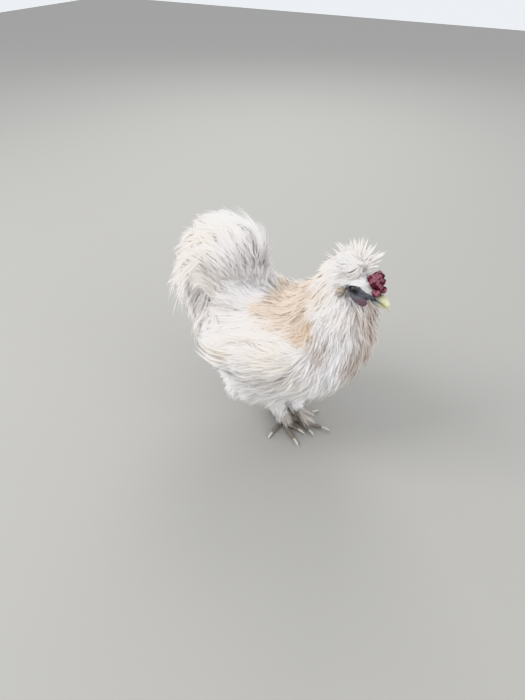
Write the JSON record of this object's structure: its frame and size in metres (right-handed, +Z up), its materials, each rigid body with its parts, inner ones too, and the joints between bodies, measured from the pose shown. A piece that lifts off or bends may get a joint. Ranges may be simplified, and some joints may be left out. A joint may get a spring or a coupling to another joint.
{
  "type": "silkie chicken",
  "caption": "Still, life-size silkie chicken standing with its head turned, with a round crest, a walnut comb, a cushion tail and feathered feet.",
  "frame": {"origin": "on the floor, under the middle of the whole outline", "axes": "+X the way the bird faces, +Y its left side, +Z up"},
  "size_m": [0.3494, 0.2046, 0.345],
  "materials": {
    "plumage": "soft silky feathers",
    "hackle": "soft silky feathers with a warm buff cast",
    "skin": "slate skin, finely creased",
    "scales": "slate scales",
    "comb": "lumpy mulberry skin",
    "earlobe": "soft skin",
    "bill": "horn, faintly glossy",
    "claw": "ivory horn",
    "eye": "glossy"
  },
  "bodies": {
    "root": {"trunk": "plumage", "tail": "plumage", "saddle": "plumage", "crest": "plumage", "neck": "hackle", "wing_right": "plumage", "wing_left": "plumage", "thigh_right": "plumage", "thigh_left": "plumage", "shank_right": "plumage", "shank_left": "plumage", "head": "skin", "comb": "comb", "wattle_right": "comb", "wattle_left": "comb", "earlobe_right": "earlobe", "earlobe_left": "earlobe", "bill_upper": "bill", "bill_lower": "bill", "eye_right": "eye", "eye_left": "eye", "foot_right": "scales", "foot_left": "scales", "toe_middle_right": "scales", "toe_inner_right": "scales", "toe_outer_right": "scales", "toe_hind_right": "scales", "toe_fifth_right": "scales", "toe_middle_left": "scales", "toe_inner_left": "scales", "toe_outer_left": "scales", "toe_hind_left": "scales", "toe_fifth_left": "scales", "claw_middle_right": "claw", "claw_inner_right": "claw", "claw_outer_right": "claw", "claw_hind_right": "claw", "claw_fifth_right": "claw", "claw_middle_left": "claw", "claw_inner_left": "claw", "claw_outer_left": "claw", "claw_hind_left": "claw", "claw_fifth_left": "claw"}
  },
  "joints": []
}
